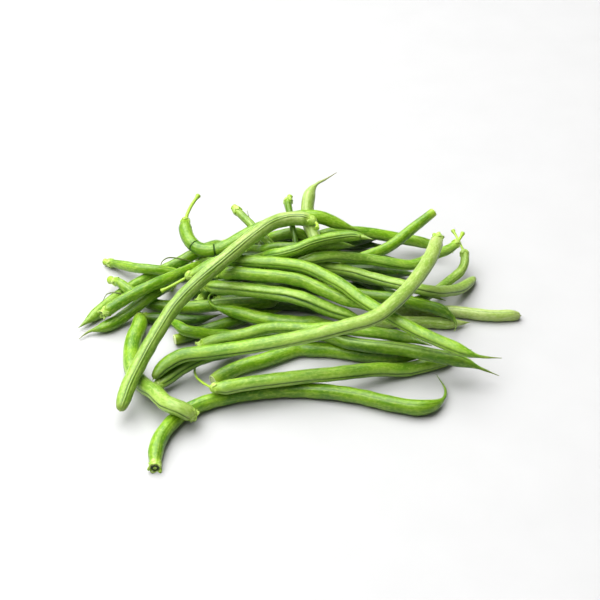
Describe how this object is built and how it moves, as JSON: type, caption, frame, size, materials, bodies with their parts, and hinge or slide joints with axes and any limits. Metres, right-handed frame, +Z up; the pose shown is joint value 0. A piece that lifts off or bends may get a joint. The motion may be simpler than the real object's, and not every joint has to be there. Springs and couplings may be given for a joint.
{
  "type": "green bean bundle",
  "caption": "Loose heap of long slender green beans, each with a short stalk, calyx, seamed pod and curled beak, lying on a flat surface.",
  "frame": {"origin": "centre of the bounding box in plan, at the surface the heap lies on", "axes": "+X along the heap's long side, to the right seen from the front; +Y towards the back; +Z up"},
  "size_m": [0.2095, 0.1719, 0.0435],
  "materials": {
    "bean_pale": "smooth waxy bean skin, satin",
    "bean_mid": "smooth waxy bean skin, satin",
    "bean_dark": "smooth waxy bean skin, satin"
  },
  "bodies": {
    "root": {"bean_under_1": "bean_dark", "bean_under_2": "bean_dark", "bean_under_3": "bean_dark", "bean_under_4": "bean_dark", "bean_under_5": "bean_dark", "bean_under_6": "bean_dark", "bean_under_7": "bean_dark", "bean_under_8": "bean_dark", "bean_front": "bean_mid", "bean_front_stalk": "bean_mid", "bean_front_arch": "bean_mid", "bean_front_tail": "bean_dark", "bean_front_stub": "bean_dark", "bean_back_long": "bean_mid", "bean_back_thin": "bean_dark", "bean_back_tail": "bean_pale", "bean_back_stub": "bean_pale", "bean_back_inner": "bean_dark", "bean_back_raised": "bean_mid", "bean_back_hook": "bean_mid", "bean_right_low": "bean_pale", "bean_right_end": "bean_pale", "bean_right_stalk": "bean_mid", "bean_right_inner": "bean_dark", "bean_right_beak": "bean_dark", "bean_right_upturned": "bean_mid", "bean_top_inner": "bean_pale", "bean_top_wave": "bean_mid", "bean_top_cross": "bean_mid", "bean_left_long": "bean_mid", "bean_left_thin": "bean_mid", "bean_left_stub": "bean_dark", "bean_left_beak": "bean_mid", "bean_left_top": "bean_mid", "bean_mid_short": "bean_dark", "bean_mid_tip": "bean_mid", "bean_mid_curl": "bean_mid", "bean_mid_wave": "bean_mid", "bean_mid_groove": "bean_pale", "bean_mid_upper": "bean_mid", "bean_long_cross": "bean_mid", "bean_left_bent": "bean_pale", "bean_right_sweep": "bean_pale", "bean_left_sweep": "bean_pale"}
  },
  "joints": []
}
